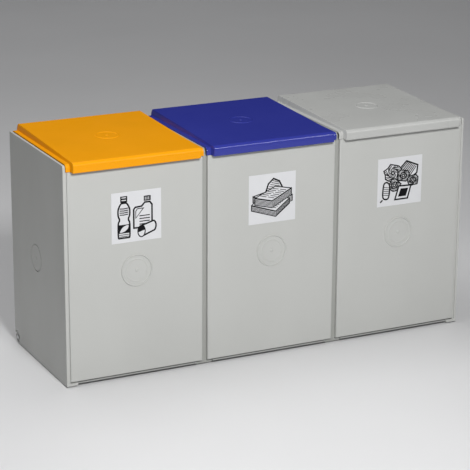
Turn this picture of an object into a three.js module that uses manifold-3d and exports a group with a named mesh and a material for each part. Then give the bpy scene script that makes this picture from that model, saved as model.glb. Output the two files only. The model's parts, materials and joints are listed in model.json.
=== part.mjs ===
// Free-standing waste sorting station with three bays side by side, each with its own hinged lid.
// Millimetres, +Z up, X across the width, the fronts face -Y.
// Origin: centre of the footprint (lid lips included) on the floor.
// Every plate is a thin plastic moulding. The panels slide down into J-shaped channels of the end
// walls and dividers. The trays lie on their soles, and each lid turns on a steel rod between two walls.

import * as THREE from 'three';
import { mergeVertices } from 'three/addons/utils/BufferGeometryUtils.js';
import Module from 'manifold-3d';

const wasm = await Module();
wasm.setup();

// ---------------------------------------------------------------- driving dimensions
const BAY_COUNT = 3;
const PANEL_WIDTH = 306;
const DIVIDER_GAP = 12;      // front panel to front panel, across a divider's edge
const END_GAP = 9;           // front panel to the station's outer face
const BODY_DEPTH = 316;      // front plane to rear plane of the walls
const WALL_HEIGHT = 485;
const LIP_REACH = 12;        // how far a lid's lip stands in front of the panels

const FIT_GAP = 0.3;         // between mouldings that rest on each other
const ROUND_SEGMENTS = 24;

const BAY_PITCH = PANEL_WIDTH + DIVIDER_GAP;
const BODY_WIDTH = BAY_COUNT * PANEL_WIDTH + (BAY_COUNT - 1) * DIVIDER_GAP + 2 * END_GAP;
const OUTER_X = BODY_WIDTH / 2;
const REAR_Y = (BODY_DEPTH + LIP_REACH) / 2;
const LIP_Y = -REAR_Y;
const FRONT_Y = LIP_Y + LIP_REACH;

// Walls and dividers
const WALL_THICK = 5;
const WALL_CORNER_R = 4;
const DIVIDER_THICK = 6;
const DIVIDER_CORNER_R = 9;
const DIVIDER_RECESS = 6.5;  // the divider's broad edges lie behind the panel faces
const WALL_GROOVE = 2.5;     // depth of the groove between an end wall's edge and a panel
const SOLE_THICK = 5.5;
const WALL_FOOT = 25;        // foot width from an end wall's outer face
const DIVIDER_FOOT = 19;     // foot width from a divider's middle
const FOOT_DEPTH = 20;
const FOOT_HEIGHT = 9;

// Front and back panels: shallow shells, open inwards
const PANEL_DEPTH = 20;
const PANEL_SKIN = 3.2;
const PANEL_RIM = 3;
const PANEL_BOTTOM = 10;
const FRONT_PANEL_TOP = 470.5;
const BACK_PANEL_TOP = 446;

// J-shaped channel that holds a panel's side rim
const CHANNEL_RIB = 3;
const CHANNEL_SLOT_GAP = 0.5;

// Base tray
const TRAY_THICK = 3;
const TRAY_SIDE_GAP = 1;     // from the panels' side edges in to the tray's
const TRAY_RECESS = 2.5;
const TRAY_RIM_X = 143;
const TRAY_RIM_FRONT = -124 - PANEL_RIM;
const TRAY_RIM_REAR = 125 + PANEL_RIM;
const TRAY_RIM_TOP = 30;

// Lid
const LID_WALL = 3;
const LID_HALF_WIDTH = 155.5;
const LID_DECK_HALF = 146;   // half width of the raised deck
const LID_FRONT_TOP = 492;
const LID_REAR_TOP = 501;
const LID_FLANGE_TOP = 487;
const LIP_BOTTOM = 469.5;
const LIP_BEND_R = 8;
const LID_REAR_BEND_R = 8;
const TAB_BOTTOM = 471;
const TAB_BEND_R = 8;
const SKIRT_BOTTOM = 450;
const REST_RIB_HALF = 135;

// Lid hinge
const HINGE_Y = REAR_Y - 12;
const HINGE_Z = 476;
const ROD_R = 3;
const ROD_BORE_R = 3.1;
const ROD_HALF = 158;
const BOSS_R = 7;
const BOSS_FACE = 152.6;     // from the bay's middle to the boss's end face
const KNUCKLE_R = 6.5;
const KNUCKLE_FROM = 131;
const KNUCKLE_TO = 151.5;
const GUSSET_HALF = 5;
const STOP_LUG = { front: 118, rear: 128, bottom: 475, top: 480, from: 150.5 };

// Bag ring and the ledges that carry it
const RING = { half: 143, front: -124, rear: 116, bottom: 446, top: 460, bar: 12 };
const LUG_HALF = 20;
const LUG_REACH = 154.5;
const LUG_BOTTOM = 452;
const LEDGE_HALF = 24;
const LEDGE_FROM = 147;
const LEDGE_THICK = 6;

// Transport rollers in the lower rear corners
const ROLLER_R = 13;
const ROLLER_Z = 14;
const ROLLER_Y = REAR_Y - ROLLER_R;
const ROLLER_OUT = 1.5;      // from the outer face in to the roller
const ROLLER_WIDTH = 15.7;
const ROLLER_BORE_R = 2.6;
const ROLLER_NOTCH_R = 15;
const CHEEK_IN = 17.5;       // from the outer face in to the pocket's cheek
const CHEEK_THICK = 5;
const POCKET_TOP = 34;
const POCKET_FRONT = 130;
const POCKET_WALL = 3;
const POCKET_CLEAR = 1;      // between the pocket and the panel and tray that are notched round it
const AXLE_R = 2.5;
const AXLE_BORE_R = 2.58;
const AXLE_HEAD_R = 5;
const AXLE_HEAD = 1.2;
const AXLE_SEAT = 4;         // depth of the axle in the cheek

// Labels
const LABEL_WIDTH = 113;
const LABEL_BOTTOM = 304;
const LABEL_TOP = 414;
const LABEL_THICK = 0.4;
const LABEL_GAP = 0.1;

// ---------------------------------------------------------------- materials
const plastic = (color, roughness) => new THREE.MeshStandardMaterial({ color, roughness, metalness: 0 });
const BODY_GREY = plastic(0xb9bab6, 0.5);
const TRAY_GREY = plastic(0x9a9b98, 0.55);
const RING_GREY = plastic(0x6d6f70, 0.5);
const ROLLER_GREY = plastic(0xa3a4a1, 0.5);
const LABEL_WHITE = plastic(0xe6e7ea, 0.4);
const LID_COLOURS = [plastic(0xe89a1f, 0.4), plastic(0x2e2f8a, 0.4), plastic(0xb4b5b1, 0.45)];
const STEEL = new THREE.MeshStandardMaterial({ color: 0xb8bcc0, roughness: 0.35, metalness: 1 });

// ---------------------------------------------------------------- solid helpers
function solid(geometry) {
  geometry.deleteAttribute('normal');
  geometry.deleteAttribute('uv');
  const merged = mergeVertices(geometry);
  return new wasm.Manifold(new wasm.Mesh({
    numProp: 3,
    vertProperties: new Float32Array(merged.attributes.position.array),
    triVerts: new Uint32Array(merged.index.array),
  }));
}

function box([xa, xb], [ya, yb], [za, zb]) {
  const geometry = new THREE.BoxGeometry(Math.abs(xb - xa), Math.abs(yb - ya), Math.abs(zb - za));
  return solid(geometry.translate((xa + xb) / 2, (ya + yb) / 2, (za + zb) / 2));
}

// Round bar along X
function bar(radius, [xa, xb], y, z) {
  const geometry = new THREE.CylinderGeometry(radius, radius, Math.abs(xb - xa), ROUND_SEGMENTS);
  return solid(geometry.rotateZ(Math.PI / 2).translate((xa + xb) / 2, y, z));
}

// Outline drawn in Y and Z, swept along X
function sweep(outline, [xa, xb]) {
  const geometry = new THREE.ExtrudeGeometry(outline, {
    depth: Math.abs(xb - xa), bevelEnabled: false, curveSegments: 6,
  });
  const turn = new THREE.Matrix4().makeBasis(
    new THREE.Vector3(0, 1, 0), new THREE.Vector3(0, 0, 1), new THREE.Vector3(1, 0, 0));
  return solid(geometry.applyMatrix4(turn).translate(Math.min(xa, xb), 0, 0));
}

const join = (pieces) => pieces.reduce((whole, piece) => whole.add(piece));
const cut = (whole, pieces) => pieces.reduce((rest, piece) => rest.subtract(piece), whole);
const span = (side, near, far) => [side * near, side * far];

function node(name, shape, material) {
  const cells = shape.getMesh();
  const geometry = new THREE.BufferGeometry();
  geometry.setAttribute('position', new THREE.BufferAttribute(cells.vertProperties, 3));
  geometry.setIndex(new THREE.BufferAttribute(cells.triVerts, 1));
  const mesh = new THREE.Mesh(geometry, material);
  mesh.name = name;
  return mesh;
}

// ---------------------------------------------------------------- walls and dividers
// Upright plate with a rounded top front corner
function plateOutline(front, rear, cornerR) {
  const outline = new THREE.Shape();
  outline.moveTo(front, 0);
  outline.lineTo(rear, 0);
  outline.lineTo(rear, WALL_HEIGHT);
  outline.lineTo(front + cornerR, WALL_HEIGHT);
  outline.absarc(front + cornerR, WALL_HEIGHT - cornerR, cornerR, Math.PI / 2, Math.PI, false);
  return outline;
}

// Everything that stands on a plate's inner face, in the coordinates of the bay it faces:
// side is -1 on the bay's left and +1 on its right, and face is the plate's inner face. The plate's
// edges are as broad as the gap beside the panels and lie edgeRecess behind them. The sole that
// carries the tray runs from the foot to soleRear, and is as wide as the foot.
function bayFittings(side, face, { edgeRecess, soleTo, soleRear, rearChannelBottom, rearEdgeBottom }) {
  const half = PANEL_WIDTH / 2;
  const ribOuter = half - PANEL_RIM - CHANNEL_SLOT_GAP;
  const ribInner = ribOuter - CHANNEL_RIB;
  const channelBottom = PANEL_BOTTOM + PANEL_RIM + FIT_GAP;
  const channel = (plane, inward, bottom, edgeBottom, top) => {
    const web = plane + inward * (PANEL_DEPTH + CHANNEL_SLOT_GAP);
    const webBack = web + inward * CHANNEL_RIB;
    const tip = plane + inward * (PANEL_SKIN + FIT_GAP);
    const heights = [bottom, top - PANEL_RIM - FIT_GAP];
    return [
      box(span(side, ribInner, face), [web, webBack], heights),
      box(span(side, ribInner, ribOuter), [tip, webBack], heights),
      box(span(side, half + FIT_GAP, face), [plane + inward * edgeRecess, webBack], [edgeBottom, top]),
    ];
  };
  return [
    ...channel(FRONT_Y, 1, channelBottom, 0, FRONT_PANEL_TOP),
    ...channel(REAR_Y, -1, rearChannelBottom, rearEdgeBottom, BACK_PANEL_TOP),
    box(span(side, soleTo, face), [FRONT_Y + FOOT_DEPTH, soleRear], [0, SOLE_THICK]),
    bar(BOSS_R, span(side, BOSS_FACE, face), HINGE_Y, HINGE_Z),
    box(span(side, STOP_LUG.from, face), [STOP_LUG.front, STOP_LUG.rear], [STOP_LUG.bottom, STOP_LUG.top]),
    box(span(side, LEDGE_FROM, face), [-LEDGE_HALF, LEDGE_HALF],
      [LUG_BOTTOM - FIT_GAP - LEDGE_THICK, LUG_BOTTOM - FIT_GAP]),
  ];
}

const rodBore = (side) => bar(ROD_BORE_R, span(side, BOSS_FACE - 1, ROD_HALF + FIT_GAP), HINGE_Y, HINGE_Z);

// Pocket for a roller: roof, front web and an inner cheek that carries the axle
function rollerPocket(side, outer, face) {
  const cheek = outer - CHEEK_IN;
  const cheekInner = cheek - CHEEK_THICK;
  const depth = [POCKET_FRONT, REAR_Y];
  return [
    box(span(side, cheekInner, cheek), depth, [0, POCKET_TOP]),
    box(span(side, cheekInner, face), depth, [POCKET_TOP - POCKET_WALL, POCKET_TOP]),
    box(span(side, cheekInner, face), [POCKET_FRONT, POCKET_FRONT + POCKET_WALL], [0, POCKET_TOP]),
  ];
}

// The wall's lower rear corner is open round the roller, so that the roller meets the floor first
// when the station is tilted back.
function rollerNotch(side, outer, depth) {
  const across = span(side, outer - depth, outer + 1);
  return [
    bar(ROLLER_NOTCH_R, across, ROLLER_Y, ROLLER_Z),
    box(across, [ROLLER_Y, REAR_Y + 1], [-1, ROLLER_Z]),
  ];
}

function endWall(name, side) {
  const outer = OUTER_X - BAY_PITCH;               // outer face, from the end bay's middle
  const face = outer - WALL_THICK;
  const plate = sweep(plateOutline(FRONT_Y, REAR_Y, WALL_CORNER_R), span(side, face, outer));
  const soleTo = outer - WALL_FOOT;
  const foot = box(span(side, soleTo, face), [FRONT_Y, FRONT_Y + FOOT_DEPTH], [0, FOOT_HEIGHT]);
  const fittings = bayFittings(side, face, {
    edgeRecess: WALL_GROOVE,
    soleTo,
    soleRear: POCKET_FRONT,
    rearChannelBottom: POCKET_TOP + POCKET_CLEAR + PANEL_RIM + FIT_GAP,
    rearEdgeBottom: POCKET_TOP - 1,
  });
  const body = join([plate, foot, ...fittings, ...rollerPocket(side, outer, face)]);
  const axleSeat = bar(AXLE_BORE_R, span(side, outer - CHEEK_IN - AXLE_SEAT, outer), ROLLER_Y, ROLLER_Z);
  return node(name, cut(body, [rodBore(side), axleSeat, ...rollerNotch(side, outer, CHEEK_IN)]), BODY_GREY);
}

function divider(name) {
  const halfThick = DIVIDER_THICK / 2;
  const plate = sweep(plateOutline(FRONT_Y + DIVIDER_RECESS, REAR_Y - DIVIDER_RECESS, DIVIDER_CORNER_R),
    [-halfThick, halfThick]);
  const foot = box([-DIVIDER_FOOT, DIVIDER_FOOT],
    [FRONT_Y + DIVIDER_RECESS, FRONT_Y + FOOT_DEPTH], [0, FOOT_HEIGHT]);
  const middle = BAY_PITCH / 2;                    // from either bay's middle to this divider
  const sides = [-1, 1].map((side) => {
    const fittings = bayFittings(side, middle - halfThick, {
      edgeRecess: DIVIDER_RECESS,
      soleTo: middle - DIVIDER_FOOT,
      soleRear: REAR_Y - DIVIDER_RECESS,
      rearChannelBottom: PANEL_BOTTOM + PANEL_RIM + FIT_GAP,
      rearEdgeBottom: 0,
    });
    return cut(join(fittings), [rodBore(side)]).translate([-side * middle, 0, 0]);
  });
  const bores = [-1, 1].map((side) => rodBore(side).translate([-side * middle, 0, 0]));
  return node(name, cut(join([plate, foot, ...sides]), bores), BODY_GREY);
}

// ---------------------------------------------------------------- panels and trays
// Shell with a rim all round, its skin on the outer plane. The notches clear the roller pockets.
function panel(name, plane, inward, top, notches) {
  const half = PANEL_WIDTH / 2;
  const shell = box([-half, half], [plane, plane + inward * PANEL_DEPTH], [PANEL_BOTTOM, top]);
  const hollow = box([PANEL_RIM - half, half - PANEL_RIM],
    [plane + inward * PANEL_SKIN, plane + inward * (PANEL_DEPTH + 1)], [PANEL_BOTTOM + PANEL_RIM, top - PANEL_RIM]);
  const cheekInner = OUTER_X - BAY_PITCH - CHEEK_IN - CHEEK_THICK;
  const rims = notches.map((side) => box(span(side, cheekInner - POCKET_CLEAR - PANEL_RIM, half),
    [plane, plane + inward * PANEL_DEPTH], [PANEL_BOTTOM, POCKET_TOP + POCKET_CLEAR + PANEL_RIM]));
  const clears = notches.map((side) => box(span(side, cheekInner - POCKET_CLEAR, half + 1),
    [plane - inward, plane + inward * (PANEL_DEPTH + 1)], [PANEL_BOTTOM - 1, POCKET_TOP + POCKET_CLEAR]));
  return node(name, cut(join([shell.subtract(hollow), ...rims]), clears), BODY_GREY);
}

function baseTray(name, notches) {
  const halfPlate = PANEL_WIDTH / 2 - TRAY_SIDE_GAP;
  const floor = [SOLE_THICK + FIT_GAP, SOLE_THICK + FIT_GAP + TRAY_THICK];
  const plate = box([-halfPlate, halfPlate], [FRONT_Y + TRAY_RECESS, REAR_Y - TRAY_RECESS], floor);
  const rim = box([-TRAY_RIM_X, TRAY_RIM_X], [TRAY_RIM_FRONT, TRAY_RIM_REAR], [floor[0], TRAY_RIM_TOP]);
  const basin = box([PANEL_RIM - TRAY_RIM_X, TRAY_RIM_X - PANEL_RIM],
    [TRAY_RIM_FRONT + PANEL_RIM, TRAY_RIM_REAR - PANEL_RIM], [floor[1], TRAY_RIM_TOP + 1]);
  const footEdge = (side) => (notches.includes(side)
    ? OUTER_X - BAY_PITCH - WALL_FOOT : BAY_PITCH / 2 - DIVIDER_FOOT);
  const feet = [-1, 1].map((side) => box(span(side, footEdge(side) - FIT_GAP, BAY_PITCH),
    [FRONT_Y, FRONT_Y + FOOT_DEPTH + FIT_GAP], [0, FOOT_HEIGHT]));
  const cheekInner = OUTER_X - BAY_PITCH - CHEEK_IN - CHEEK_THICK;
  const pockets = notches.map((side) => box(span(side, cheekInner - POCKET_CLEAR, BAY_PITCH),
    [POCKET_FRONT - POCKET_CLEAR, REAR_Y], [0, POCKET_TOP]));
  return node(name, cut(join([plate, rim]), [basin, ...feet, ...pockets]), TRAY_GREY);
}

// ---------------------------------------------------------------- lids
// Deck, lip and rear skirt in one line; inset gives the inner line, drop carries it past the edges
function deckOutline(inset, drop) {
  const front = LIP_Y + inset;
  const rear = REAR_Y - inset;
  const bend = LIP_BEND_R - inset;
  const rearBend = LID_REAR_BEND_R - inset;
  const frontTop = LID_FRONT_TOP - inset;
  const rearTop = LID_REAR_TOP - inset;
  const outline = new THREE.Shape();
  outline.moveTo(front, LIP_BOTTOM - drop);
  outline.lineTo(front, frontTop - bend);
  outline.absarc(front + bend, frontTop - bend, bend, Math.PI, Math.PI / 2, true);
  outline.lineTo(rear - rearBend, rearTop);
  outline.absarc(rear - rearBend, rearTop - rearBend, rearBend, Math.PI / 2, 0, true);
  outline.lineTo(rear, SKIRT_BOTTOM - drop);
  return outline;
}

// Level side flange that turns down at the front into a tab
function flangeOutline() {
  const turnY = FRONT_Y + TAB_BEND_R;
  const turnZ = LID_FLANGE_TOP - TAB_BEND_R;
  const outline = new THREE.Shape();
  outline.moveTo(FRONT_Y, TAB_BOTTOM);
  outline.lineTo(FRONT_Y, turnZ);
  outline.absarc(turnY, turnZ, TAB_BEND_R, Math.PI, Math.PI / 2, true);
  outline.lineTo(REAR_Y, LID_FLANGE_TOP);
  outline.lineTo(REAR_Y, LID_FLANGE_TOP - LID_WALL);
  outline.lineTo(turnY, LID_FLANGE_TOP - LID_WALL);
  outline.absarc(turnY, turnZ, TAB_BEND_R - LID_WALL, Math.PI / 2, Math.PI, false);
  outline.lineTo(FRONT_Y + LID_WALL, TAB_BOTTOM);
  return outline;
}

function lid(name, material) {
  const passDrop = 30;
  const inner = LID_DECK_HALF - LID_WALL;
  const flangeBottom = LID_FLANGE_TOP - LID_WALL;
  const deck = sweep(deckOutline(0, 0), [-LID_DECK_HALF, LID_DECK_HALF])
    .subtract(sweep(deckOutline(LID_WALL, passDrop), [-inner, inner]));
  const belowFlange = [-1, 1].map((side) => box(span(side, inner - FIT_GAP, LID_DECK_HALF + 1),
    [FRONT_Y + LID_WALL, REAR_Y - LID_WALL], [SKIRT_BOTTOM - passDrop, flangeBottom]));
  const abovePanel = box([-LID_DECK_HALF, LID_DECK_HALF], [FRONT_Y - FIT_GAP, 0],
    [SKIRT_BOTTOM - passDrop, TAB_BOTTOM]);
  const sides = [-1, 1].flatMap((side) => [
    sweep(flangeOutline(), span(side, LID_DECK_HALF - 1, LID_HALF_WIDTH)),
    box(span(side, LID_DECK_HALF - 1, LID_HALF_WIDTH), [REAR_Y - LID_WALL, REAR_Y],
      [SKIRT_BOTTOM, LID_FLANGE_TOP - 1]),
    bar(KNUCKLE_R, span(side, KNUCKLE_FROM, KNUCKLE_TO), HINGE_Y, HINGE_Z),
    box(span(side, KNUCKLE_FROM, KNUCKLE_TO), [HINGE_Y - GUSSET_HALF, HINGE_Y + GUSSET_HALF],
      [HINGE_Z, flangeBottom + 1]),
    box(span(side, KNUCKLE_FROM, inner + 1), [HINGE_Y - GUSSET_HALF, HINGE_Y + GUSSET_HALF],
      [HINGE_Z, LID_REAR_TOP - LID_WALL]),
  ]);
  const restRib = box([-REST_RIB_HALF, REST_RIB_HALF], [FRONT_Y + LID_WALL, FRONT_Y + 2 * LID_WALL],
    [FRONT_PANEL_TOP + FIT_GAP, LID_FRONT_TOP - 1]);
  const bore = bar(ROD_BORE_R, [-LID_HALF_WIDTH, LID_HALF_WIDTH], HINGE_Y, HINGE_Z);
  return node(name, cut(join([cut(deck, [...belowFlange, abovePanel]), ...sides, restRib]), [bore]),
    material);
}

// ---------------------------------------------------------------- inner and small pieces
const hingeRod = (name) => node(name, bar(ROD_R, [-ROD_HALF, ROD_HALF], HINGE_Y, HINGE_Z), STEEL);

// Loose ring over which a waste bag's mouth is folded; two lugs lie on the ledges of the walls
function bagRing(name) {
  const heights = [RING.bottom, RING.top];
  const ring = box([-RING.half, RING.half], [RING.front, RING.rear], heights)
    .subtract(box([RING.bar - RING.half, RING.half - RING.bar],
      [RING.front + RING.bar, RING.rear - RING.bar], [RING.bottom - 1, RING.top + 1]));
  const lugs = box([RING.half - 1, LUG_REACH], [-LUG_HALF, LUG_HALF], [LUG_BOTTOM, RING.top]);
  const farLug = box([1 - RING.half, -LUG_REACH], [-LUG_HALF, LUG_HALF], [LUG_BOTTOM, RING.top]);
  return node(name, join([ring, lugs, farLug]), RING_GREY);
}

function label(name) {
  const back = FRONT_Y - LABEL_GAP;
  return node(name, box([-LABEL_WIDTH / 2, LABEL_WIDTH / 2], [back - LABEL_THICK, back],
    [LABEL_BOTTOM, LABEL_TOP]), LABEL_WHITE);
}

function roller(name, side) {
  const outer = OUTER_X - ROLLER_OUT;
  const across = span(side, outer - ROLLER_WIDTH, outer);
  const wheel = bar(ROLLER_R, across, ROLLER_Y, ROLLER_Z);
  return node(name, wheel.subtract(bar(ROLLER_BORE_R, span(side, outer - ROLLER_WIDTH - 1, outer + 1),
    ROLLER_Y, ROLLER_Z)), ROLLER_GREY);
}

function rollerAxle(name, side) {
  const shaft = bar(AXLE_R, span(side, OUTER_X - CHEEK_IN - AXLE_SEAT + FIT_GAP, OUTER_X - 1),
    ROLLER_Y, ROLLER_Z);
  const head = bar(AXLE_HEAD_R, span(side, OUTER_X - AXLE_HEAD, OUTER_X), ROLLER_Y, ROLLER_Z);
  return node(name, shaft.add(head), STEEL);
}

// ---------------------------------------------------------------- the station
function bay(index) {
  const number = index + 1;
  const outerSides = [];
  if (index === 0) outerSides.push(-1);
  if (index === BAY_COUNT - 1) outerSides.push(1);
  const group = new THREE.Group();
  group.position.x = (index - (BAY_COUNT - 1) / 2) * BAY_PITCH;
  group.add(
    panel(`front_panel_${number}`, FRONT_Y, 1, FRONT_PANEL_TOP, []),
    panel(`back_panel_${number}`, REAR_Y, -1, BACK_PANEL_TOP, outerSides),
    baseTray(`base_tray_${number}`, outerSides),
    bagRing(`bag_ring_${number}`),
    hingeRod(`hinge_rod_${number}`),
    lid(`lid_${number}`, LID_COLOURS[index]),
    label(`label_${number}`),
  );
  return group;
}

const station = new THREE.Group();
for (let index = 0; index < BAY_COUNT; index += 1) station.add(bay(index));

for (let index = 1; index < BAY_COUNT; index += 1) {
  const wall = divider(`divider_${index}`);
  wall.position.x = (index - BAY_COUNT / 2) * BAY_PITCH;
  station.add(wall);
}

for (const [word, side] of [['left', -1], ['right', 1]]) {
  const wall = endWall(`end_wall_${word}`, side);
  wall.position.x = side * (BAY_COUNT - 1) / 2 * BAY_PITCH;
  station.add(wall, roller(`roller_${word}`, side), rollerAxle(`roller_axle_${word}`, side));
}

export default station;
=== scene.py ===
"""Looks of a three-bay waste sorting station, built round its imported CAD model.

Metres in the CAD frame: X runs along the row of bays, the fronts face -Y, +Z is up.
"""
import json
import math

import bmesh
import bpy
from mathutils import Matrix, Vector
from mathutils.geometry import delaunay_2d_cdt

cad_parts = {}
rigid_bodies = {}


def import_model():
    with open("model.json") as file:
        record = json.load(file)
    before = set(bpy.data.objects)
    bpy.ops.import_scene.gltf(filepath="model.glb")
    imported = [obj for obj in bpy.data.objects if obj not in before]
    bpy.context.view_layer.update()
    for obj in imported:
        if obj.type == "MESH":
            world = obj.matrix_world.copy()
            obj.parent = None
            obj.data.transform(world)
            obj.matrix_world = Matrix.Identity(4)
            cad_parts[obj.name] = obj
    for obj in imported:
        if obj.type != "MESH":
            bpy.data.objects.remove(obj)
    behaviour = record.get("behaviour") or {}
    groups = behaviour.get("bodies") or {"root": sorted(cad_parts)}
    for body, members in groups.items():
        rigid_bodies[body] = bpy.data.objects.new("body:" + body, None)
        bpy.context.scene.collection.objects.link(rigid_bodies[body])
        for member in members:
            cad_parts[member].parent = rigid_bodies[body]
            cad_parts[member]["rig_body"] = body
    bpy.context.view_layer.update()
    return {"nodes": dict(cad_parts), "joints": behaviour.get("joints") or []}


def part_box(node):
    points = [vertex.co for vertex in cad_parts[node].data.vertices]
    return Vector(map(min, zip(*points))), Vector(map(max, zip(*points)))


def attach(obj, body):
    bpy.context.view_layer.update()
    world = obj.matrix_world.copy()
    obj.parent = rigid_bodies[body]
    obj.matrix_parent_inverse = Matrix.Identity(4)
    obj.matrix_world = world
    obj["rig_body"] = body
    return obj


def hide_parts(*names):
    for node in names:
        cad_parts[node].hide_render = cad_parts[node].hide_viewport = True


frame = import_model()

MM = 0.001
X, Y, Z = 0, 1, 2
BAYS = (1, 2, 3)
SIDES = (-1, 1)
ENDS = (("left", -1), ("right", 1))

WELD_DISTANCE = 0.005 * MM
ON_PLANE = 0.05 * MM
CUT_MARGIN = 1 * MM          # by which a cutter stands out of what it cuts
FLAT_ANGLE = math.radians(0.5)
SHARP_ANGLE = math.radians(25)
SHADED_SHARP_ANGLE = math.radians(32)

# Rounded edges, as width and number of segments
PANEL_ROUND = (2.6 * MM, 4)
WALL_ROUND = (2.5 * MM, 4)
SMALL_ROUND = (0.4 * MM, 2)
RING_ROUND = (1.6 * MM, 3)
LABEL_ROUND = (0.12 * MM, 2)
LIP_ROUND = (2.2 * MM, 3)
RIM_ROUND = (0.7 * MM, 3)

# Segments round turned bodies
ROLLER_SEGMENTS = 64
ROD_SEGMENTS = 48
KNUCKLE_SEGMENTS = 40

# Rebate under the outer edges that stand on the ground
REBATE_HEIGHT = 2.4 * MM
REBATE_DEPTH = 2.5 * MM
FOOT_REBATE_HEIGHT = 3.2 * MM
FOOT_REBATE_DEPTH = 12 * MM

# Open joint between the panels and the trays and feet below them
PANEL_JOINT = 1.2 * MM

# Round gate mark on each front and back panel, end wall and lid
GATE_RADIUS = 34 * MM
GATE_INNER_RADIUS = 24.5 * MM
GATE_HALF_WIDTH = 1.8 * MM
GATE_RISE = 1.8 * MM
GATE_FAINT_RISE = 0.6 * MM
DECK_GATE_RISE = 1.0 * MM
GATE_SEGMENTS = 96
GATE_SECTION_STEPS = 16
NUB_RADIUS = 4.2 * MM
NUB_RISE = 1.2 * MM
NUB_SINK = 1 * MM
NUB_SEGMENTS = 32
NUB_STEPS = 5
WALL_GATE_RADIUS = 29.5 * MM
WALL_GATE_Y = 16 * MM
WALL_GATE_Z = 240 * MM


# ---------------------------------------------------------------- mesh helpers
def mesh_object(name, bm):
    bm.normal_update()
    mesh = bpy.data.meshes.new(name)
    bm.to_mesh(mesh)
    bm.free()
    piece = bpy.data.objects.new(name, mesh)
    bpy.context.scene.collection.objects.link(piece)
    return piece


def cad_shape(node):
    """A copy of a CAD node's mesh with its flat faces whole again."""
    bm = bmesh.new()
    bm.from_mesh(frame["nodes"][node].data)
    bmesh.ops.remove_doubles(bm, verts=bm.verts, dist=WELD_DISTANCE)
    bmesh.ops.dissolve_limit(bm, angle_limit=FLAT_ANGLE, verts=bm.verts, edges=bm.edges)
    return bm


def bevel(bm, edges, rounding):
    width, segments = rounding
    bmesh.ops.bevel(bm, geom=edges, offset=width, offset_type="OFFSET", segments=segments,
                    profile=0.5, affect="EDGES", clamp_overlap=True)


def round_edges(bm, rounding, chosen=lambda edge: True):
    """Rounds the chosen ones among a shape's sharp edges."""
    bevel(bm, [
        edge for edge in bm.edges
        if len(edge.link_faces) == 2 and edge.calc_face_angle(0) > SHARP_ANGLE and chosen(edge)
    ], rounding)


def is_on(vert, axis, plane):
    return abs(vert.co[axis] - plane) < ON_PLANE


def lies_on(edge, axis, plane):
    return all(is_on(vert, axis, plane) for vert in edge.verts)


def combine(piece, other, operation):
    """Boolean of piece with other, which is used up."""
    modifier = piece.modifiers.new("combine", "BOOLEAN")
    modifier.operation = operation
    modifier.solver = "EXACT"
    modifier.object = other
    bpy.context.view_layer.update()
    graph = bpy.context.evaluated_depsgraph_get()
    mesh = bpy.data.meshes.new_from_object(piece.evaluated_get(graph))
    piece.modifiers.clear()
    before = piece.data
    piece.data = mesh
    bpy.data.meshes.remove(before)
    spent = other.data
    bpy.data.objects.remove(other)
    bpy.data.meshes.remove(spent)


def smooth(piece):
    """Smooth shading that keeps flat faces flat and hard edges hard."""
    piece.data.shade_smooth()
    piece.data.set_sharp_from_angle(angle=SHADED_SHARP_ANGLE)
    weighted = piece.modifiers.new("normals", "WEIGHTED_NORMAL")
    weighted.keep_sharp = True
    weighted.weight = 100
    return piece


def turned_ring(bm, radius, height, segments):
    """Corners of one ring of a turned body, or its single point on the axis."""
    if radius == 0:
        return [bm.verts.new((0, 0, height))]
    angles = (math.tau * step / segments for step in range(segments))
    return [bm.verts.new((radius * math.cos(a), radius * math.sin(a), height)) for a in angles]


def turned(name, profile, segments):
    """Closed body of revolution about Z from (radius, height) points; the ends lie on the axis,
    or the outline closes on itself where it has a bore."""
    bm = bmesh.new()
    rings = [turned_ring(bm, radius, height, segments) for radius, height in profile]
    pairs = list(zip(rings, rings[1:]))
    bored = profile[0][0] > 0
    if bored:
        pairs.append((rings[-1], rings[0]))
    for low, high in pairs:
        for step in range(segments):
            after = (step + 1) % segments
            corners = [low[step % len(low)], low[after % len(low)],
                       high[after % len(high)], high[step % len(high)]]
            bm.faces.new(list(dict.fromkeys(corners)))
    bmesh.ops.recalc_face_normals(bm, faces=bm.faces)
    return mesh_object(name, bm)


def rod_profile(radius, length, chamfer):
    return [(0, 0), (radius - chamfer, 0), (radius, chamfer), (radius, length - chamfer),
            (radius - chamfer, length), (0, length)]


def box_object(name, low, high):
    bm = bmesh.new()
    bmesh.ops.create_cube(bm, size=1)
    low, high = Vector(low), Vector(high)
    bmesh.ops.transform(bm, verts=bm.verts,
                        matrix=Matrix.Translation((low + high) / 2) @ Matrix.Diagonal((*(high - low), 1)))
    return mesh_object(name, bm)


def place(piece, origin, direction):
    """Turns a piece made about +Z to a direction and moves it to a point."""
    turn = Vector(direction).to_track_quat("Z", "Y").to_matrix().to_4x4()
    piece.data.transform(Matrix.Translation(origin) @ turn)
    return piece


def gate_ring(radius, rise):
    """Ring of oval section about Z: a ridge when added to a face at Z 0, a groove when cut from it."""
    angles = (math.tau * step / GATE_SECTION_STEPS for step in range(GATE_SECTION_STEPS))
    section = [(radius + GATE_HALF_WIDTH * math.cos(a), rise * math.sin(a)) for a in angles]
    return turned("gate_ring", section, GATE_SEGMENTS)


def gate_nub():
    """Low dome about Z, sunk a little into what carries it."""
    angles = (math.pi / 2 * step / NUB_STEPS for step in range(NUB_STEPS + 1))
    dome = [(NUB_RADIUS * math.sin(a), NUB_RISE * math.cos(a)) for a in angles]
    return turned("gate_nub", [*dome, (NUB_RADIUS, -NUB_SINK), (0, -NUB_SINK)], NUB_SEGMENTS)


def raise_gate(piece, origin, direction, *rings):
    for mark in (*rings, gate_nub()):
        combine(piece, place(mark, origin, direction), "UNION")


def sink_gate(piece, origin, direction, radius):
    for mark in (gate_ring(radius, GATE_RISE), gate_nub()):
        combine(piece, place(mark, origin, direction), "DIFFERENCE")


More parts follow.
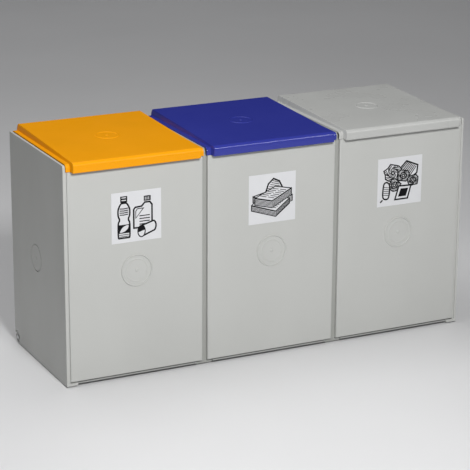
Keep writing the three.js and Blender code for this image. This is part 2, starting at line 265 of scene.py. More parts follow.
def stand_in(piece, node, *materials):
    """Lets a piece take the place of its CAD node."""
    smooth(piece)
    for material in materials:
        piece.data.materials.append(material)
    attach(piece, frame["nodes"][node]["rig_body"])
    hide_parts(node)


# ---------------------------------------------------------------- materials
class Nodes:
    """A material's node tree, built by short calls."""

    def __init__(self, name):
        self.material = bpy.data.materials.new(name)
        self.material.use_nodes = True
        self.tree = self.material.node_tree
        self.tree.nodes.clear()
        self.shader = self.add("ShaderNodeBsdfPrincipled")
        output = self.add("ShaderNodeOutputMaterial")
        self.link(self.shader, "BSDF", output, "Surface")
        self.where = self.add("ShaderNodeTexCoord")
        self.relief = None

    def add(self, kind, **inputs):
        node = self.tree.nodes.new(kind)
        for key, value in inputs.items():
            node.inputs[key.replace("_", " ")].default_value = value
        return node

    def link(self, source, output, target, socket):
        self.tree.links.new(source.outputs[output], target.inputs[socket])

    def fixed(self, socket, value):
        """Sets a shader value that is the same all over the surface."""
        self.shader.inputs[socket].default_value = value

    def noise(self, scale, detail=2.0, roughness=0.5, stretch=(1, 1, 1)):
        placing = self.add("ShaderNodeMapping", Scale=stretch)
        self.link(self.where, "Object", placing, "Vector")
        noise = self.add("ShaderNodeTexNoise", Scale=scale, Detail=detail, Roughness=roughness)
        self.link(placing, "Vector", noise, "Vector")
        return noise

    def spread(self, noise, low, high):
        """A noise's value mapped to run from low to high."""
        spread = self.add("ShaderNodeMapRange", From_Min=0.35, From_Max=0.65, To_Min=low, To_Max=high)
        self.link(noise, "Fac", spread, "Value")
        return spread

    def colour(self, noise, first, second):
        """Base colour that wanders between two with a noise."""
        blend = self.add("ShaderNodeMix")
        blend.data_type = "RGBA"
        blend.inputs["A"].default_value = (*first, 1)
        blend.inputs["B"].default_value = (*second, 1)
        self.link(self.spread(noise, 0.0, 1.0), "Result", blend, "Factor")
        self.link(blend, "Result", self.shader, "Base Color")

    def roughness(self, noise, low, high):
        self.link(self.spread(noise, low, high), "Result", self.shader, "Roughness")

    def bump(self, noise, strength, distance):
        """Relief that adds to the relief made before it."""
        bump = self.add("ShaderNodeBump", Strength=strength, Distance=distance)
        self.link(noise, "Fac", bump, "Height")
        if self.relief:
            self.link(self.relief, "Normal", bump, "Normal")
        self.link(bump, "Normal", self.shader, "Normal")
        self.relief = bump


FLOW_TINT = 0.02             # share by which the colour wanders
SHEEN_BELOW = 0.045
SHEEN_ABOVE = 0.055


def scaled(colour, factor):
    return [channel * factor for channel in colour]


def moulded_plastic(name, colour, roughness, grain, shine=0.5):
    """Injection-moulded plastic: flow marks in colour and sheen, and a fine eroded texture."""
    nodes = Nodes(name)
    flow = nodes.noise(scale=5.0, detail=3.0, stretch=(1, 1, 0.6))
    nodes.colour(flow, scaled(colour, 1 - FLOW_TINT), scaled(colour, 1 + FLOW_TINT))
    nodes.fixed("Specular IOR Level", shine)
    scuffs = nodes.noise(scale=14.0, detail=3.0, stretch=(1, 1, 0.35))
    nodes.roughness(scuffs, roughness - SHEEN_BELOW, roughness + SHEEN_ABOVE)
    waviness = nodes.noise(scale=9.0, detail=1.0)
    nodes.bump(waviness, strength=0.12, distance=0.4 * MM)
    texture = nodes.noise(scale=1300.0, roughness=0.55)
    nodes.bump(texture, strength=grain, distance=0.06 * MM)
    return nodes.material


def drawn_steel():
    """Zinc-plated drawn rod: fine lines along X and a slightly cloudy plating."""
    nodes = Nodes("steel")
    cloud = nodes.noise(scale=60.0, detail=3.0, roughness=0.6)
    nodes.colour(cloud, (0.52, 0.53, 0.54), (0.66, 0.67, 0.69))
    nodes.fixed("Metallic", 1.0)
    lines = nodes.noise(scale=900.0, stretch=(0.02, 1, 1))
    nodes.roughness(lines, 0.24, 0.4)
    nodes.bump(lines, strength=0.2, distance=0.03 * MM)
    return nodes.material


def printed_film(name, colour, roughness, shine=0.5):
    """Stuck-on vinyl film or the ink on it: nearly even, with a faint ripple."""
    nodes = Nodes(name)
    cloud = nodes.noise(scale=30.0)
    nodes.colour(cloud, scaled(colour, 1 - FLOW_TINT), colour)
    nodes.fixed("Roughness", roughness)
    nodes.fixed("Specular IOR Level", shine)
    nodes.bump(cloud, strength=0.05, distance=0.2 * MM)
    return nodes.material


def floor_paint():
    nodes = Nodes("floor_paint")
    cloud = nodes.noise(scale=1.5, detail=3.0)
    nodes.colour(cloud, (0.72, 0.72, 0.725), (0.74, 0.74, 0.745))
    nodes.fixed("Roughness", 0.55)
    return nodes.material


BODY_GREY = moulded_plastic("body_grey", (0.50, 0.505, 0.485), roughness=0.46, grain=0.22)
# Darker than the body grey: painted shade for the dividers' recessed front edges and feet, which sit in
# the shadow between the panels.
DIVIDER_PAINTED_SHADE_GREY = moulded_plastic("divider_painted_shade", (0.345, 0.35, 0.33), roughness=0.46, grain=0.22)
# Darker than the body grey: painted shade for the trays' front band, which lies in the shadow under the
# panels.
TRAY_PAINTED_SHADE_GREY = moulded_plastic("tray_grey", (0.34, 0.345, 0.335), roughness=0.5, grain=0.25)
RING_GREY = moulded_plastic("ring_grey", (0.13, 0.135, 0.14), roughness=0.42, grain=0.2)
ROLLER_GREY = moulded_plastic("roller_grey", (0.40, 0.405, 0.39), roughness=0.4, grain=0.12)
LID_PLASTICS = {
    1: moulded_plastic("lid_yellow", (0.835, 0.332, 0.005), roughness=0.2, grain=0.06, shine=0.12),
    2: moulded_plastic("lid_blue", (0.032, 0.041, 0.29), roughness=0.18, grain=0.06, shine=0.4),
    3: moulded_plastic("lid_grey", (0.475, 0.48, 0.465), roughness=0.3, grain=0.06, shine=0.3),
}
STEEL = drawn_steel()
LABEL_WHITE = printed_film("label_vinyl", (0.67, 0.675, 0.69), roughness=0.35)
INK = printed_film("label_ink", (0.004, 0.004, 0.005), roughness=0.5, shine=0.15)


# ---------------------------------------------------------------- walls and panels
def panel_shell(node, side):
    """Shell with soft edges on its outer face, and the middle of that face."""
    low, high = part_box(node)
    outer, inner = (high.y, low.y) if side > 0 else (low.y, high.y)
    bm = cad_shape(node)
    for vert in bm.verts:
        if is_on(vert, Z, low.z):
            vert.co.z += PANEL_JOINT
    round_edges(bm, PANEL_ROUND, lambda edge: lies_on(edge, Y, outer))
    round_edges(bm, SMALL_ROUND, lambda edge: lies_on(edge, Y, inner))
    middle = Vector(((low.x + high.x) / 2, outer, (low.z + high.z) / 2))
    return mesh_object(f"{node}_moulding", bm), middle


def front_panel(number):
    node = f"front_panel_{number}"
    piece, middle = panel_shell(node, -1)
    raise_gate(piece, middle, (0, -1, 0), gate_ring(GATE_RADIUS, GATE_RISE),
               gate_ring(GATE_INNER_RADIUS, GATE_FAINT_RISE))
    stand_in(piece, node, BODY_GREY)


def back_panel(number):
    node = f"back_panel_{number}"
    piece, middle = panel_shell(node, 1)
    sink_gate(piece, middle, (0, 1, 0), GATE_RADIUS)
    stand_in(piece, node, BODY_GREY)


def rebate(piece, near, far, height):
    """Cuts the bottom of a piece away between two (x, y) corners."""
    combine(piece, box_object("rebate", (*near, -CUT_MARGIN), (*far, height)), "DIFFERENCE")


def foot_rebate(piece, low, high):
    """Rebate across the whole front of a foot."""
    rebate(piece, (low.x - CUT_MARGIN, low.y - CUT_MARGIN),
           (high.x + CUT_MARGIN, low.y + FOOT_REBATE_DEPTH), FOOT_REBATE_HEIGHT)


def end_wall(word, side):
    node = f"end_wall_{word}"
    low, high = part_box(node)
    outer = high.x if side > 0 else low.x
    bm = cad_shape(node)
    round_edges(bm, WALL_ROUND, lambda edge: lies_on(edge, X, outer) and not lies_on(edge, Z, low.z))
    round_edges(bm, SMALL_ROUND)
    piece = mesh_object(f"{node}_moulding", bm)
    rebate(piece, (outer - REBATE_DEPTH, low.y - CUT_MARGIN),
           (outer + REBATE_DEPTH, high.y + CUT_MARGIN), REBATE_HEIGHT)
    foot_rebate(piece, low, high)
    sink_gate(piece, (outer, WALL_GATE_Y, WALL_GATE_Z), (side, 0, 0), WALL_GATE_RADIUS)
    stand_in(piece, node, BODY_GREY)


def divider(number):
    node = f"divider_{number}"
    bm = cad_shape(node)
    round_edges(bm, SMALL_ROUND)
    piece = mesh_object(f"{node}_moulding", bm)
    foot_rebate(piece, *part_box(node))
    stand_in(piece, node, DIVIDER_PAINTED_SHADE_GREY)


def plain_moulding(node, material, rounding=SMALL_ROUND):
    bm = cad_shape(node)
    round_edges(bm, rounding)
    stand_in(mesh_object(f"{node}_moulding", bm), node, material)


# ---------------------------------------------------------------- lids
LID_WALL = 3 * MM
LID_RIM = 9 * MM             # level flange outside the raised deck
LID_RISER = 3.4 * MM         # width over which the flange rises to the deck
LID_RISER_WALL = 0.9 * LID_WALL
LID_CORNER_WALL = 1.5 * LID_WALL
LID_DECK_FALL = 9 * MM       # the deck falls this much from its rear edge to the lip
LID_FLANGE_DROP = 14 * MM    # flange top below the deck's rear edge
LIP_REACH = 12 * MM
LIP_HEIGHT = 22.5 * MM
TAB_HEIGHT = 16 * MM
FRONT_BEND = 8 * MM
REAR_BEND = 8 * MM
RIM_ANGLE = math.radians(60)
DECK_GATE_BACK = 3 * MM      # the deck's middle lies behind that of the whole lid

# Columns and rows of the lid's skins
DECK_SHARES = (0.0, 0.45, 0.8)
RISER_STEPS = 12
LIP_STEPS = 4
FRONT_BEND_STEPS = 8
DECK_STEPS = 10
REAR_BEND_STEPS = 5
SKIRT_STEPS = 4

# Hinge at both ends of the lid's rear edge
KNUCKLE_RADIUS = 6.5 * MM
KNUCKLE_LENGTH = 20.5 * MM
KNUCKLE_CHAMFER = 0.5 * MM
KNUCKLE_EDGE_GAP = 4 * MM
GUSSET_HALF_DEPTH = 5 * MM
PIN_BORE_RADIUS = 3.1 * MM
PIN_BORE_LENGTH = 1.0


def mix(first, second, share):
    return first + (second - first) * share


def ease(share):
    """Smooth step from 0 to 1."""
    return share * share * (3 - 2 * share)


def arc(centre, across, up, start, stop, steps):
    """Arc of an ellipse, both of its ends included."""
    angles = (mix(start, stop, step / steps) for step in range(steps + 1))
    return [(centre[0] + across * math.cos(a), centre[1] + up * math.sin(a)) for a in angles]


def spaced(start, stop, steps):
    """Points from start up to, but without, stop."""
    return [(mix(start[0], stop[0], i / steps), mix(start[1], stop[1], i / steps)) for i in range(steps)]


def lid_line(low, high, rise, inset):
    """Lip or tab, top and rear skirt as one line of (y, z); rise runs from 0, flange, to 1, deck."""
    rear = high.y - inset
    front = mix(low.y + LIP_REACH, low.y, rise) + inset
    flange = high.z - LID_FLANGE_DROP
    front_top = mix(flange, high.z - LID_DECK_FALL, rise)
    rear_top = mix(flange, high.z, rise)
    bottom = front_top - mix(TAB_HEIGHT, LIP_HEIGHT, rise)
    bend, rear_bend = FRONT_BEND - inset, REAR_BEND - inset
    front_centre = (front + bend, front_top - inset - bend)
    rear_centre = (rear - rear_bend, rear_top - inset - rear_bend)
    rounded = arc(front_centre, bend, bend, math.pi, math.pi / 2, FRONT_BEND_STEPS)
    behind = arc(rear_centre, rear_bend, rear_bend, math.pi / 2, 0, REAR_BEND_STEPS)
    return [
        *spaced((front, bottom), rounded[0], LIP_STEPS),
        *rounded,
        *spaced(rounded[-1], behind[0], DECK_STEPS)[1:],
        *behind,
        *spaced(behind[-1], (rear, low.z), SKIRT_STEPS)[1:],
        (rear, low.z),
    ]


def lid_stations(half):
    """(outer skin's distance from the middle, inner skin's, rise) from the middle to the edge."""
    foot = half - LID_RIM
    deck = [(half * share, half * share, 1.0) for share in DECK_SHARES]
    riser = []
    for step in range(RISER_STEPS + 1):
        share = step / RISER_STEPS
        outer = mix(foot - LID_RISER, foot, share)
        riser.append((outer, outer - LID_RISER_WALL, 1 - ease(share)))
    rim = [(half - LID_WALL, half - LID_CORNER_WALL, 0.0), (half, half, 0.0)]
    return deck + riser + rim


def lid_skin(bm, low, high, columns, inset):
    """Corners of one skin, a list for each (distance from the lid's middle, rise) column."""
    middle = (low.x + high.x) / 2
    return [
        [bm.verts.new((middle + across, y, z)) for y, z in lid_line(low, high, rise, inset)]
        for across, rise in columns
    ]


def join_skins(bm, outer, inner):
    """Faces of both skins and of the rims between them."""
    last_column, last_row = len(outer) - 1, len(outer[0]) - 1
    for column in range(last_column):
        after = column + 1
        for row in range(last_row):
            quad = [(column, row), (after, row), (after, row + 1), (column, row + 1)]
            bm.faces.new([outer[a][b] for a, b in quad])
            bm.faces.new([inner[a][b] for a, b in reversed(quad)])
        for row in (0, last_row):
            bm.faces.new([outer[column][row], inner[column][row], inner[after][row], outer[after][row]])
    for column in (0, last_column):
        for row in range(last_row):
            bm.faces.new([outer[column][row], outer[column][row + 1],
                          inner[column][row + 1], inner[column][row]])
    bmesh.ops.recalc_face_normals(bm, faces=bm.faces)


def lid_shell(node):
    low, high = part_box(node)
    outward = lid_stations((high.x - low.x) / 2)
    stations = [(-outer, -inner, rise) for outer, inner, rise in reversed(outward[1:])] + outward
    bm = bmesh.new()
    outer = lid_skin(bm, low, high, [(station[0], station[2]) for station in stations], 0.0)
    inner = lid_skin(bm, low, high, [(station[1], station[2]) for station in stations], LID_WALL)
    join_skins(bm, outer, inner)
    sharp = [edge for edge in bm.edges if edge.calc_face_angle(0) > RIM_ANGLE]
    lip = [edge for edge in sharp if all(vert.co.y < low.y + MM for vert in edge.verts)]
    rims = [edge for edge in sharp if edge not in lip]
    bevel(bm, lip, LIP_ROUND)
    bevel(bm, [edge for edge in rims if edge.is_valid], RIM_ROUND)
    return mesh_object(f"{node}_moulding", bm)


def add_knuckle(piece, pin, ends, top):
    """Barrel round the pin between two x, and a gusset from it up to the flange."""
    near, far = sorted(ends)
    barrel = turned("knuckle", rod_profile(KNUCKLE_RADIUS, KNUCKLE_LENGTH, KNUCKLE_CHAMFER),
                    KNUCKLE_SEGMENTS)
    gusset = box_object("gusset", (near, pin.y - GUSSET_HALF_DEPTH, pin.z),
                        (far, pin.y + GUSSET_HALF_DEPTH, top))
    combine(piece, place(barrel, (near, pin.y, pin.z), (1, 0, 0)), "UNION")
    combine(piece, gusset, "UNION")


def add_hinge(piece, node, low, high):
    joint = next(joint for joint in frame["joints"] if joint["name"] == f"{node}_hinge")
    pin = Vector(joint["pos_m"])
    edge = (high.x - low.x) / 2 - KNUCKLE_EDGE_GAP
    for side in SIDES:
        outer = pin.x + side * edge
        add_knuckle(piece, pin, (outer, outer - side * KNUCKLE_LENGTH),
                    high.z - LID_FLANGE_DROP - LID_WALL / 2)
    bore = turned("bore", [(0, 0), (PIN_BORE_RADIUS, 0), (PIN_BORE_RADIUS, PIN_BORE_LENGTH),
                           (0, PIN_BORE_LENGTH)], KNUCKLE_SEGMENTS)
    combine(piece, place(bore, (pin.x - PIN_BORE_LENGTH / 2, pin.y, pin.z), (1, 0, 0)), "DIFFERENCE")


def lid(number):
    node = f"lid_{number}"
    low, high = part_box(node)
    piece = lid_shell(node)
    add_hinge(piece, node, low, high)
    slope = math.atan2(LID_DECK_FALL, high.y - low.y)
    middle = (low + high) / 2
    raise_gate(piece, (middle.x, middle.y + DECK_GATE_BACK, high.z - LID_DECK_FALL / 2),
               (0, -math.sin(slope), math.cos(slope)), gate_ring(GATE_INNER_RADIUS, DECK_GATE_RISE))
    stand_in(piece, node, LID_PLASTICS[number])


# ---------------------------------------------------------------- small pieces
ROD_CHAMFER = 0.5 * MM

ROLLER_BORE_RADIUS = 2.6 * MM
ROLLER_HUB_RADIUS = 5 * MM
ROLLER_WEB_RADIUS = 10 * MM
ROLLER_WEB_SINK = 1.2 * MM
ROLLER_SHOULDER = 1.0 * MM

AXLE_DOME = ((0.6, 0.1 * MM), (0.9, 0.45 * MM), (1.0, 0.8 * MM))    # share of the radius, depth
AXLE_HEAD_DEPTH = 1.2 * MM
AXLE_SHAFT_RADIUS = 2.5 * MM
AXLE_CHAMFER = 0.4 * MM


def hinge_rod(number):
    node = f"hinge_rod_{number}"
    low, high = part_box(node)
    middle = (low + high) / 2
    profile = rod_profile((high.z - low.z) / 2, high.x - low.x, ROD_CHAMFER)
    piece = turned(f"{node}_steel", profile, ROD_SEGMENTS)
    stand_in(place(piece, (low.x, middle.y, middle.z), (1, 0, 0)), node, STEEL)


def roller(word):
    """Roller with rounded shoulders and a recessed web round its hub."""
    node = f"roller_{word}"
    low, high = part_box(node)
    middle = (low + high) / 2
    radius, width = (high.z - low.z) / 2, high.x - low.x
    face = [
        (ROLLER_BORE_RADIUS, 0),
        (ROLLER_HUB_RADIUS, 0),
        (ROLLER_HUB_RADIUS, ROLLER_WEB_SINK),
        (ROLLER_WEB_RADIUS, ROLLER_WEB_SINK),
        (ROLLER_WEB_RADIUS, 0),
        (radius - ROLLER_SHOULDER, 0),
        (radius, ROLLER_SHOULDER),
    ]
    profile = face + [(reach, width - depth) for reach, depth in reversed(face)]
    piece = turned(f"{node}_wheel", profile, ROLLER_SEGMENTS)
    stand_in(place(piece, (low.x, middle.y, middle.z), (1, 0, 0)), node, ROLLER_GREY)


def roller_axle(word, side):
    """Axle with a domed head on the outer side of its wall."""
    node = f"roller_axle_{word}"
    low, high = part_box(node)
    middle = (low + high) / 2
    outer = high.x if side > 0 else low.x
    head, length = (high.z - low.z) / 2, high.x - low.x
    profile = [
        (0, 0),
        *((head * share, depth) for share, depth in AXLE_DOME),
        (head, AXLE_HEAD_DEPTH),
        (AXLE_SHAFT_RADIUS, AXLE_HEAD_DEPTH),
        (AXLE_SHAFT_RADIUS, length - AXLE_CHAMFER),
        (AXLE_SHAFT_RADIUS - AXLE_CHAMFER, length),
        (0, length),
    ]
    piece = turned(f"{node}_steel", profile, ROD_SEGMENTS)
    stand_in(place(piece, (outer, middle.y, middle.z), (-side, 0, 0)), node, STEEL)


# ---------------------------------------------------------------- labels
# The drawings are made on a square grid over each label, X to the right and Y up.
GRID = 100
OUTLINE = 3.2
BALL_OUTLINE = 2.4
STROKE = 2.0
FINE = 1.3
CURVE_STEPS = 5
ELLIPSE_STEPS = 20
SHARPEST_MITRE = 0.35
OVERLAY_WELD = 1e-4
INK_PROUD = 0.08 * MM
INK_SUNK = 0.1 * MM

# Printed rows across a newspaper, and its two columns along them
PRINT_ROWS = (0.2, 0.32, 0.44, 0.56, 0.68, 0.8)
PRINT_COLUMNS = ((0.1, 0.44), (0.54, 0.9))

# Crumpled balls
BALL_UNEVENNESS = 0.13
BALL_UNEVEN_STEP = 2.7
BALL_FLATNESS = 0.9
CREASE_START = 0.12          # from the corner to the middle
CREASE_TURN = 0.45           # from the middle to another corner
CREASE_STOP = -0.2           # past the middle, seen from the corner


def smooth_line(points, steps=CURVE_STEPS, closed=True):
    """Catmull-Rom curve through a few points."""
    count = len(points)
    if closed:
        corners = [[points[(i + k) % count] for k in (-1, 0, 1, 2)] for i in range(count)]
    else:
        padded = [points[0], *points, points[-1]]
        corners = [padded[i:i + 4] for i in range(count - 1)]
    curve = []
    for a, b, c, d in corners:
        for step in range(steps):
            t = step / steps
            curve.append(tuple(
                0.5 * (2 * q + (r - p) * t + (2 * p - 5 * q + 4 * r - s) * t * t
                       + (3 * q - p - 3 * r + s) * t ** 3)
                for p, q, r, s in zip(a, b, c, d)
            ))
    return curve if closed else [*curve, tuple(points[-1])]


def mitres(points, closed):
    """Sideways offset of one unit at each point, to the left of the way along."""
    count = len(points)
    shifts = []
    for i in range(count):
        before = points[i - 1] if closed or i else points[i]
        after = points[(i + 1) % count] if closed or i < count - 1 else points[i]
        sides = [
            Vector((a[1] - b[1], b[0] - a[0])).normalized()
            for a, b in ((before, points[i]), (points[i], after)) if a != b
        ]
        total = sum(sides, Vector((0, 0)))
        shifts.append(total / max(total.dot(sides[0]), SHARPEST_MITRE))
    return shifts


def offset(points, distance, closed=True):
    return [(p[0] + distance * m.x, p[1] + distance * m.y) for p, m in zip(points, mitres(points, closed))]


def leftwards(points):
    """The outline in the order that has its inside to the left."""
    swept = sum(a[0] * b[1] - b[0] * a[1] for a, b in zip(points, points[1:] + points[:1]))
    return points if swept > 0 else points[::-1]


def ellipse(centre, across, up):
    return arc(centre, across, up, 0, math.tau, ELLIPSE_STEPS)[:-1]


def between(first, second, share):
    return tuple(mix(a, b, share) for a, b in zip(first, second))


class Drawing:
    """Inked and blank areas, each lying over the ones before it."""

    def __init__(self):
        self.areas = []

    def area(self, points, inked=True):
        self.areas.append((leftwards(points), inked))

    def shape(self, points, stroke=OUTLINE):
        """A blank shape inside an inked outline."""
        outline = leftwards(points)
        self.area(outline)
        self.area(offset(outline, stroke), False)

    def line(self, points, width=STROKE, inked=True):
        left = offset(points, width / 2, closed=False)
        right = offset(points, -width / 2, closed=False)
        self.area(left + right[::-1], inked)

    def hatch(self, first, second, count, width=FINE):
        """Lines between two edges, each given by its two ends."""
        for step in range(count):
            share = (step + 0.5) / count
            self.line([between(*first, share), between(*second, share)], width)

    def inked_faces(self):
        """Corners and triangles of what stays inked, from the areas' overlay."""
        corners, faces = [], []
        for points, _ in self.areas:
            faces.append(list(range(len(corners), len(corners) + len(points))))
            corners += [Vector(point) for point in points]
        made = delaunay_2d_cdt(corners, [], faces, 1, OVERLAY_WELD, True)
        points, triangles, covering = made[0], made[2], made[5]
        inked = [
            triangle for triangle, areas in zip(triangles, covering)
            if areas and self.areas[max(areas)][1]
        ]
        return points, inked


def bottle(drawing):
    axis = 25
    profile = [(10, 8), (13, 12), (13, 38), (10.5, 46), (13, 54), (13, 66), (9.5, 75), (5.5, 80)]
    right = smooth_line([(axis + half, height) for half, height in profile], closed=False)
    left = [(2 * axis - x, y) for x, y in reversed(right)]
    drawing.shape(right + left)
    drawing.area([(18, 80), (32, 80), (32, 92), (18, 92)])
    for height in (83, 88):
        drawing.area([(20.5, height), (29.5, height), (29.5, height + 1.8), (20.5, height + 1.8)], False)
    for height in (56, 60, 64, 68):
        drawing.line([(16.5, height), (25, height - 0.8), (33.5, height)])
    drawing.area([(13.5, 19), (36.5, 19), (36.5, 36), (13.5, 36)])
    drawing.area(smooth_line([(17, 21), (25, 22), (32, 27), (34, 34), (26, 33), (20, 28)]), False)
    for height in (12.5, 16):
        drawing.line([(15.5, height), (34.5, height)], FINE)


def canister(drawing):
    drawing.shape([(43, 25), (43, 64), (47, 69), (60, 70), (66, 77), (78, 77), (83, 70), (83, 25)])
    drawing.area([(65, 78), (79, 78), (79, 88), (65, 88)])
    for across in (68, 71.5, 75):
        drawing.line([(across, 80), (across, 86)], FINE, False)
    drawing.shape([(48, 44), (48, 60), (52, 65), (66, 65)], 1.6)
    for height in (33, 38.5, 44, 49.5):
        drawing.line([(56, height), (77, height)])


def tipped_can(drawing):
    mouth = (60, 19)
    back = arc((84, 27), 7, 11.5, -math.pi / 2, math.pi / 2, 10)
    drawing.shape([(60, 6.5), *back, (60, 31.5)])
    drawing.shape(ellipse(mouth, 8.5, 12.5), 2.2)
    drawing.area(arc(mouth, 7.5, 11, 0.2, math.pi + 0.2, 10))


def bottles_drawing():
    drawing = Drawing()
    bottle(drawing)
    canister(drawing)
    tipped_can(drawing)
    return drawing


def newspaper(drawing, west, north, east, south, height, sheets):
    """A pile of folded sheets: its top by the four corners, and the sheets' edges below it."""
    def down(corner):
        return (corner[0], corner[1] - height)

    drawing.shape([west, north, east, down(east), down(south), down(west)], STROKE)
    drawing.hatch((west, down(west)), (south, down(south)), sheets)
    drawing.hatch((south, down(south)), (east, down(east)), sheets)
    drawing.line([west, south, east], STROKE)
    for share in PRINT_ROWS:
        start, stop = between(west, north, share), between(south, east, share)
        for first, last in PRINT_COLUMNS:
            drawing.line([between(start, stop, first), between(start, stop, last)], FINE)


def papers_drawing():
    drawing = Drawing()
    drawing.shape([(34, 62), (40, 80), (52, 91), (66, 84), (76, 64)])
    drawing.hatch(((39, 68), (52, 87)), ((68, 64), (64, 82)), 5)
    newspaper(drawing, (8, 58), (60, 70), (94, 52), (46, 38), 13, 5)
    newspaper(drawing, (5, 40), (30, 62), (88, 46), (58, 22), 12, 5)
    newspaper(drawing, (12, 54), (56, 74), (92, 66), (50, 44), 15, 6)
    return drawing


def crumple(drawing, centre, reach, corners, start):
    """A crumpled ball: an uneven outline with creases that run in from its corners."""
    outline = []
    for step in range(corners):
        angle = start + math.tau * step / corners
        radius = reach * (1 + BALL_UNEVENNESS * math.sin(BALL_UNEVEN_STEP * step + start))
        outline.append((centre[0] + radius * math.cos(angle),
                        centre[1] + BALL_FLATNESS * radius * math.sin(angle)))
    drawing.shape(outline, BALL_OUTLINE)
    for step, corner in enumerate(outline):
        turn = between(centre, outline[(step + 2) % corners], CREASE_TURN)
        drawing.line([between(corner, centre, CREASE_START), turn, between(centre, corner, CREASE_STOP)],
                     FINE)
        drawing.line([between(corner, outline[step - 1], 0.5), turn], FINE)


def mixed_drawing():
    drawing = Drawing()
    drawing.shape([(46, 74), (64, 92), (92, 80), (90, 62), (72, 50)])
    drawing.hatch(((50, 74), (72, 54)), ((66, 89), (88, 76)), 7, STROKE)
    crumple(drawing, (80, 48), 14, 10, 1.1)
    crumple(drawing, (34, 68), 21, 13, 0.4)
    crumple(drawing, (58, 60), 15, 10, 2.6)
    crumple(drawing, (38, 42), 15, 10, 2.0)
    drawing.shape([(38, 10), (70, 10), (78, 40), (47, 41)])
    drawing.area([(47, 17), (65, 17), (70, 33), (53, 33.5)])
    drawing.shape(smooth_line([(11, 20), (12, 44), (17, 51), (24, 50), (29, 41), (27, 17), (18, 13)], 4))
    drawing.hatch(((14, 22), (15, 42)), ((25, 20), (27, 40)), 5)
    drawing.line([(12, 14), (7, 9)], OUTLINE)
    return drawing


def ink_relief(drawing, node):
    """The drawing as a thin relief on the label's front."""
    low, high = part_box(node)
    points, triangles = drawing.inked_faces()
    bm = bmesh.new()
    verts = [
        bm.verts.new((mix(low.x, high.x, x / GRID), low.y + INK_SUNK, mix(low.z, high.z, y / GRID)))
        for x, y in points
    ]
    for triangle in triangles:
        bm.faces.new([verts[corner] for corner in triangle])
    bmesh.ops.delete(bm, geom=[v for v in bm.verts if not v.link_faces], context="VERTS")
    bmesh.ops.dissolve_limit(bm, angle_limit=FLAT_ANGLE, verts=bm.verts, edges=bm.edges)
    front = bmesh.ops.extrude_face_region(bm, geom=bm.faces[:], use_keep_orig=True)["geom"]
    moved = [item for item in front if isinstance(item, bmesh.types.BMVert)]
    bmesh.ops.translate(bm, verts=moved, vec=(0, -INK_SUNK - INK_PROUD, 0))
    bmesh.ops.recalc_face_normals(bm, faces=bm.faces)
    for face in bm.faces:
        face.material_index = 1
    return bm


def label(number, drawing):
    """Vinyl film and the ink printed on it, in one piece with two materials."""
    node = f"label_{number}"
    bm = cad_shape(node)
    round_edges(bm, LABEL_ROUND)
    ink = ink_relief(drawing, node)
    added = bpy.data.meshes.new("ink")
    ink.to_mesh(added)
    ink.free()
    bm.from_mesh(added)
    bpy.data.meshes.remove(added)
    stand_in(mesh_object(f"{node}_film", bm), node, LABEL_WHITE, INK)


# ---------------------------------------------------------------- room, lights and camera
FLOOR_REACH = 14
FLOOR_CELLS = 8
STATION_MIDDLE = (0, 0, 0.25)
FRONT_LIPS = (0.2, -0.16, 0.48)
GROUND_BEHIND = (0.8, 0.6, 0)
WORLD_COLOUR = (0.92, 0.93, 0.96, 1)
WORLD_STRENGTH = 0.13

CAMERA_PLACE = (-1.8549, -3.7496, 1.5474)
CAMERA_YAW = math.radians(26.15)
CAMERA_PITCH = math.radians(17.46)
CAMERA_ROLL = math.radians(0.33)
SENSOR_WIDTH = 36
LENS = 150


def floor():
    bm = bmesh.new()
    bmesh.ops.create_grid(bm, x_segments=FLOOR_CELLS, y_segments=FLOOR_CELLS, size=FLOOR_REACH)
    piece = mesh_object("floor", bm)
    piece.data.materials.append(floor_paint())


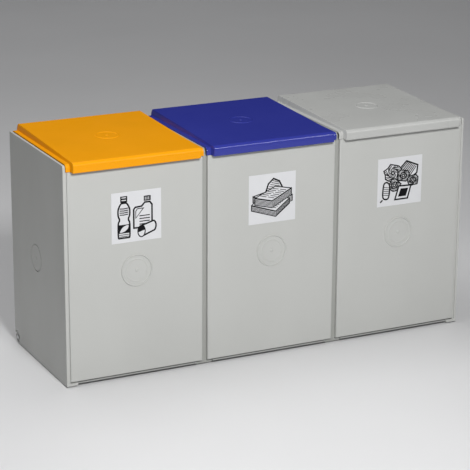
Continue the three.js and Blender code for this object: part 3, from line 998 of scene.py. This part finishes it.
def area_light(name, at, target, size, power):
    data = bpy.data.lights.new(name, "AREA")
    data.shape = "RECTANGLE"
    data.size, data.size_y = size
    data.energy = power
    lamp = bpy.data.objects.new(name, data)
    lamp.location = at
    lamp.rotation_euler = (Vector(target) - Vector(at)).to_track_quat("-Z", "Y").to_euler()
    lamp.visible_camera = False
    bpy.context.scene.collection.objects.link(lamp)
    return lamp


def lights():
    """The key and rear lights are left out of reflections; the strip is seen in nothing else."""
    key = area_light("key", at=(-0.55, -2.2, 1.88), target=STATION_MIDDLE, size=(0.6, 0.4), power=60)
    key.visible_glossy = False
    area_light("overhead", at=(-0.6, 0.5, 2.9), target=STATION_MIDDLE, size=(2.4, 1.8), power=31)
    rear = area_light("rear", at=(1.4, 4.6, 2.8), target=GROUND_BEHIND, size=(5.0, 2.0), power=27)
    rear.visible_glossy = False
    strip = area_light("strip", at=(1.25, -2.66, 1.85), target=FRONT_LIPS, size=(1.9, 0.2), power=38)
    strip.visible_diffuse = False


def surroundings():
    world = bpy.data.worlds.new("studio")
    world.use_nodes = True
    sky = world.node_tree.nodes["Background"]
    sky.inputs["Color"].default_value = WORLD_COLOUR
    sky.inputs["Strength"].default_value = WORLD_STRENGTH
    world.cycles_visibility.glossy = False
    bpy.context.scene.world = world


def camera():
    data = bpy.data.cameras.new("camera")
    data.sensor_width = SENSOR_WIDTH
    data.lens = LENS
    view = bpy.data.objects.new("camera", data)
    view.matrix_world = (
        Matrix.Translation(CAMERA_PLACE)
        @ Matrix.Rotation(-CAMERA_YAW, 4, "Z")
        @ Matrix.Rotation(math.pi / 2 - CAMERA_PITCH, 4, "X")
        @ Matrix.Rotation(CAMERA_ROLL, 4, "Z")
    )
    bpy.context.scene.collection.objects.link(view)
    bpy.context.scene.camera = view


camera()
lights()
surroundings()
floor()
for word, side in ENDS:
    end_wall(word, side)
    roller(word)
    roller_axle(word, side)
for number in BAYS[:-1]:
    divider(number)
drawings = (bottles_drawing(), papers_drawing(), mixed_drawing())
for number, drawing in zip(BAYS, drawings):
    front_panel(number)
    back_panel(number)
    plain_moulding(f"base_tray_{number}", TRAY_PAINTED_SHADE_GREY)
    plain_moulding(f"bag_ring_{number}", RING_GREY, RING_ROUND)
    hinge_rod(number)
    lid(number)
    label(number, drawing)
bpy.context.scene.view_settings.view_transform = "Standard"
